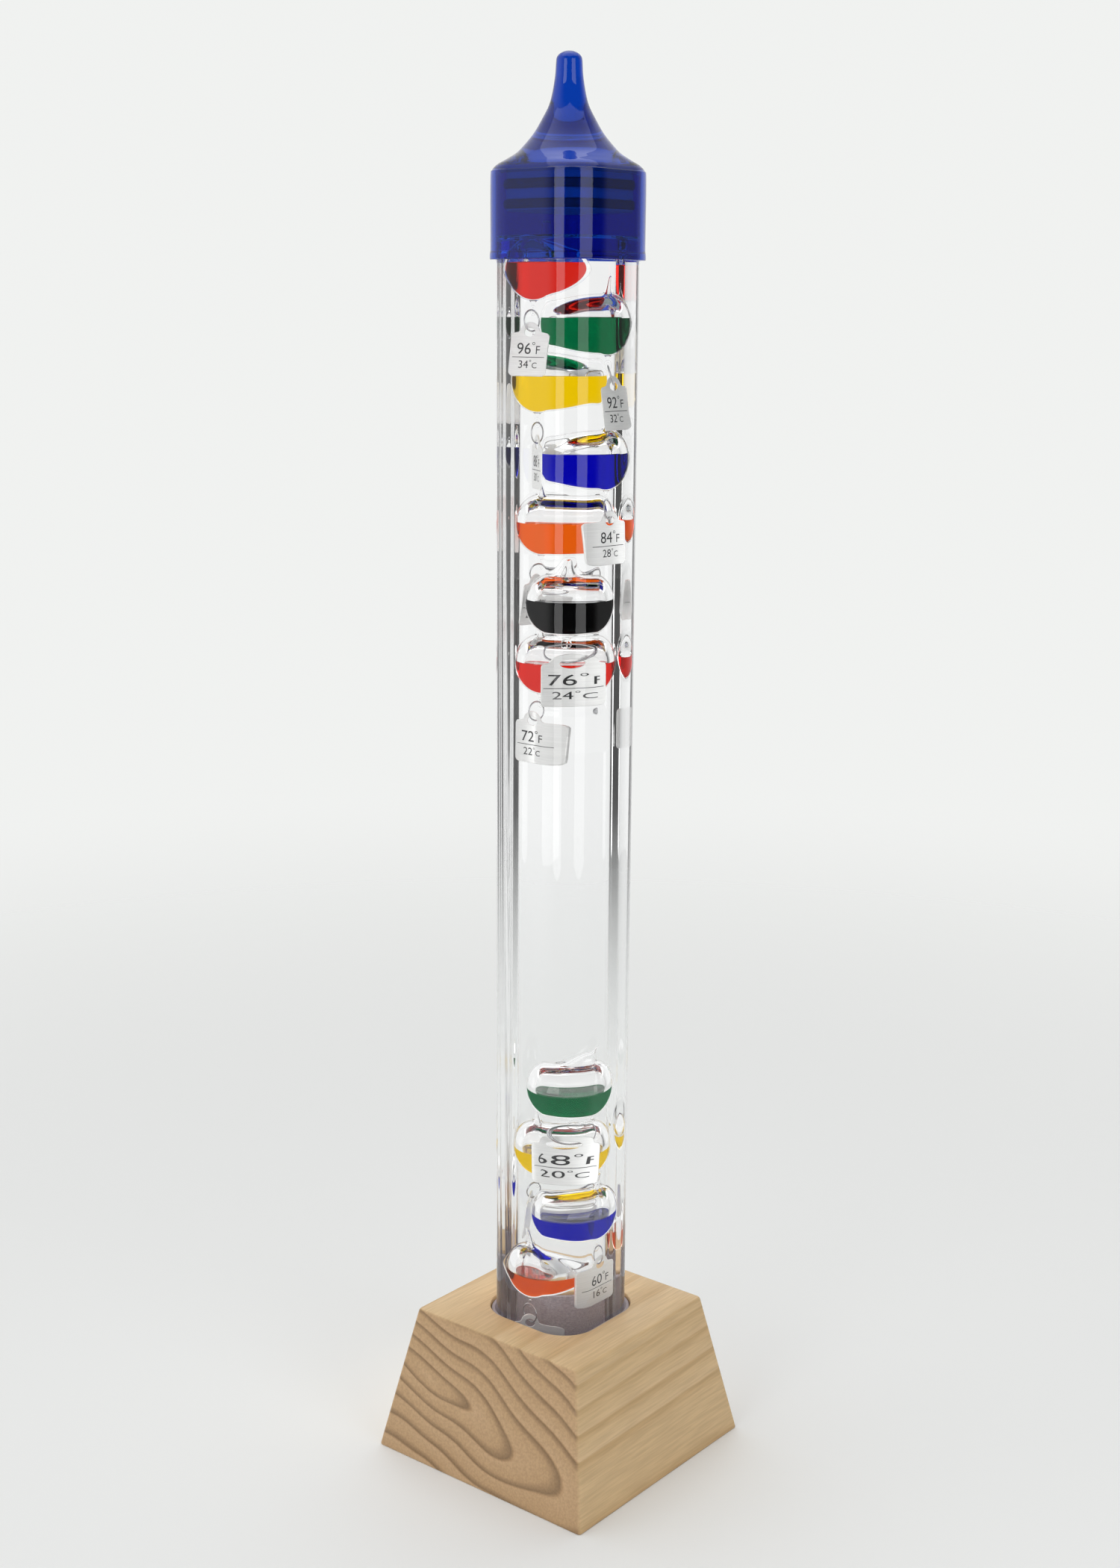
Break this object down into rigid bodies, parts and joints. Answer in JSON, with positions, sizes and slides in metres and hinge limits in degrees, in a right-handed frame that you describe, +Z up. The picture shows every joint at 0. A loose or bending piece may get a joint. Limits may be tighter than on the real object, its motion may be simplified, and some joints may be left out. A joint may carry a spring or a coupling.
{
  "type": "galileo thermometer",
  "caption": "Tall liquid-filled glass column on a tapered wooden base, with coloured glass floats that carry numbered metal tags, under a cap with a drawn finial.",
  "frame": {"origin": "middle of the underside of the wooden base", "axes": "+Z up along the column, X and Y square with the base's sides"},
  "size_m": [0.0834, 0.0834, 0.4318],
  "materials": {
    "pine": "satin varnish",
    "liner": "soft",
    "column_glass": "polished",
    "bulb_glass": "polished",
    "cap_blue": "glossy",
    "stopper": "smooth",
    "seal_rubber": "smooth",
    "steel_wire": "drawn wire",
    "tag_metal": "satin",
    "red_liquid": "clear coloured liquid",
    "green_liquid": "clear coloured liquid",
    "yellow_liquid": "clear coloured liquid",
    "blue_liquid": "clear coloured liquid",
    "orange_liquid": "clear coloured liquid",
    "black_liquid": "dark liquid"
  },
  "bodies": {
    "stand": {"base_block": "pine", "pocket_liner": "liner"},
    "vessel": {"glass_column": "column_glass", "stopper": "stopper", "upper_seal_ring": "seal_rubber", "lower_seal_ring": "seal_rubber", "cap": "cap_blue"},
    "float_96F": {"bulb_96F": "bulb_glass", "liquid_96F": "red_liquid"},
    "label_96F": {"ring_96F": "steel_wire", "tag_96F": "tag_metal"},
    "float_92F": {"bulb_92F": "bulb_glass", "liquid_92F": "green_liquid"},
    "label_92F": {"ring_92F": "steel_wire", "tag_92F": "tag_metal"},
    "float_88F": {"bulb_88F": "bulb_glass", "liquid_88F": "yellow_liquid"},
    "label_88F": {"ring_88F": "steel_wire", "tag_88F": "tag_metal"},
    "float_84F": {"bulb_84F": "bulb_glass", "liquid_84F": "blue_liquid"},
    "label_84F": {"ring_84F": "steel_wire", "tag_84F": "tag_metal"},
    "float_80F": {"bulb_80F": "bulb_glass", "liquid_80F": "orange_liquid"},
    "label_80F": {"ring_80F": "steel_wire", "tag_80F": "tag_metal"},
    "float_76F": {"bulb_76F": "bulb_glass", "liquid_76F": "black_liquid"},
    "label_76F": {"ring_76F": "steel_wire", "tag_76F": "tag_metal"},
    "float_72F": {"bulb_72F": "bulb_glass", "liquid_72F": "red_liquid"},
    "label_72F": {"ring_72F": "steel_wire", "tag_72F": "tag_metal"},
    "float_68F": {"bulb_68F": "bulb_glass", "liquid_68F": "green_liquid"},
    "label_68F": {"ring_68F": "steel_wire", "tag_68F": "tag_metal"},
    "float_64F": {"bulb_64F": "bulb_glass", "liquid_64F": "yellow_liquid"},
    "label_64F": {"ring_64F": "steel_wire", "tag_64F": "tag_metal"},
    "float_60F": {"bulb_60F": "bulb_glass", "liquid_60F": "blue_liquid"},
    "label_60F": {"ring_60F": "steel_wire", "tag_60F": "tag_metal"},
    "float_56F": {"bulb_56F": "bulb_glass", "liquid_56F": "orange_liquid"},
    "label_56F": {"ring_56F": "steel_wire", "tag_56F": "tag_metal"}
  },
  "joints": [
    {"name": "vessel_lift", "type": "slide", "parent": "stand", "child": "vessel", "axis": [0, 0, 1], "range_m": [0, 0.03]},
    {"name": "float_96F_rise", "type": "slide", "parent": "vessel", "child": "float_96F", "axis": [0, 0, 1], "range_m": [-0.0007, 0.0008]},
    {"name": "label_96F_swing", "type": "hinge", "parent": "float_96F", "child": "label_96F", "pos_m": [-0.0051, -0.0035, 0.3597], "axis": [-0.5055, -0.8184, 0.2733], "range_deg": [-1, 25]},
    {"name": "float_92F_rise", "type": "slide", "parent": "vessel", "child": "float_92F", "axis": [0, 0, 1], "range_m": [-0.0003, 0.0015]},
    {"name": "label_92F_swing", "type": "hinge", "parent": "float_92F", "child": "label_92F", "pos_m": [0.0028, 0.006, 0.3442], "axis": [0.8111, -0.5841, 0.0314], "range_deg": [-4, 4]},
    {"name": "float_88F_rise", "type": "slide", "parent": "vessel", "child": "float_88F", "axis": [0, 0, 1], "range_m": [-0.0003, 0.0008]},
    {"name": "label_88F_swing", "type": "hinge", "parent": "float_88F", "child": "label_88F", "pos_m": [-0.0054, 0.0006, 0.3277], "axis": [-0.2588, -0.9659, 0], "range_deg": [-15, 2]},
    {"name": "float_84F_rise", "type": "slide", "parent": "vessel", "child": "float_84F", "axis": [0, 0, 1], "range_m": [-0.0007, 0.0003]},
    {"name": "label_84F_swing", "type": "hinge", "parent": "float_84F", "child": "label_84F", "pos_m": [0.0024, 0.0061, 0.3052], "axis": [0.4783, -0.8775, -0.0341], "range_deg": [-4, 10]},
    {"name": "float_80F_rise", "type": "slide", "parent": "vessel", "child": "float_80F", "axis": [0, 0, 1], "range_m": [-0.0025, 0.0007]},
    {"name": "label_80F_swing", "type": "hinge", "parent": "float_80F", "child": "label_80F", "pos_m": [-0.0064, 0.0064, 0.2857], "axis": [0.6852, 0.6851, -0.2474], "range_deg": [-1.5, 4]},
    {"name": "float_76F_rise", "type": "slide", "parent": "vessel", "child": "float_76F", "axis": [0, 0, 1], "range_m": [-0.0002, 0.0025]},
    {"name": "label_76F_swing", "type": "hinge", "parent": "float_76F", "child": "label_76F", "pos_m": [-0.0002, 0.0015, 0.2627], "axis": [0.853, 0.4743, 0.2178], "range_deg": [-40, 4]},
    {"name": "float_72F_rise", "type": "slide", "parent": "vessel", "child": "float_72F", "axis": [0, 0, 1], "range_m": [-0.09, 0.0002]},
    {"name": "label_72F_swing", "type": "hinge", "parent": "float_72F", "child": "label_72F", "pos_m": [-0.0065, 0.0065, 0.2437], "axis": [-0.4606, -0.7655, 0.4492], "range_deg": [-1.5, 45]},
    {"name": "float_68F_rise", "type": "slide", "parent": "vessel", "child": "float_68F", "axis": [0, 0, 1], "range_m": [-0.0008, 0.09]},
    {"name": "label_68F_swing", "type": "hinge", "parent": "float_68F", "child": "label_68F", "pos_m": [0.0003, 0.0031, 0.11], "axis": [-0.2309, -0.8781, 0.4192], "range_deg": [-1.5, 28]},
    {"name": "float_64F_rise", "type": "slide", "parent": "vessel", "child": "float_64F", "axis": [0, 0, 1], "range_m": [-0.0008, 0.0008]},
    {"name": "label_64F_swing", "type": "hinge", "parent": "float_64F", "child": "label_64F", "pos_m": [-0.0064, 0.0064, 0.0882], "axis": [-0.4095, -0.8781, 0.2474], "range_deg": [-5, 5]},
    {"name": "float_60F_rise", "type": "slide", "parent": "vessel", "child": "float_60F", "axis": [0, 0, 1], "range_m": [-0.0004, 0.0012]},
    {"name": "label_60F_swing", "type": "hinge", "parent": "float_60F", "child": "label_60F", "pos_m": [0.0015, 0.0054, 0.0677], "axis": [0.8303, 0.2036, 0.5188], "range_deg": [-2, 10]},
    {"name": "float_56F_rise", "type": "slide", "parent": "vessel", "child": "float_56F", "axis": [0, 0, 1], "range_m": [-0.005, 0.0004]},
    {"name": "label_56F_swing", "type": "hinge", "parent": "float_56F", "child": "label_56F", "pos_m": [-0.0049, -0.0024, 0.0487], "axis": [0.9816, -0.1908, 0], "range_deg": [-25, 45]}
  ]
}
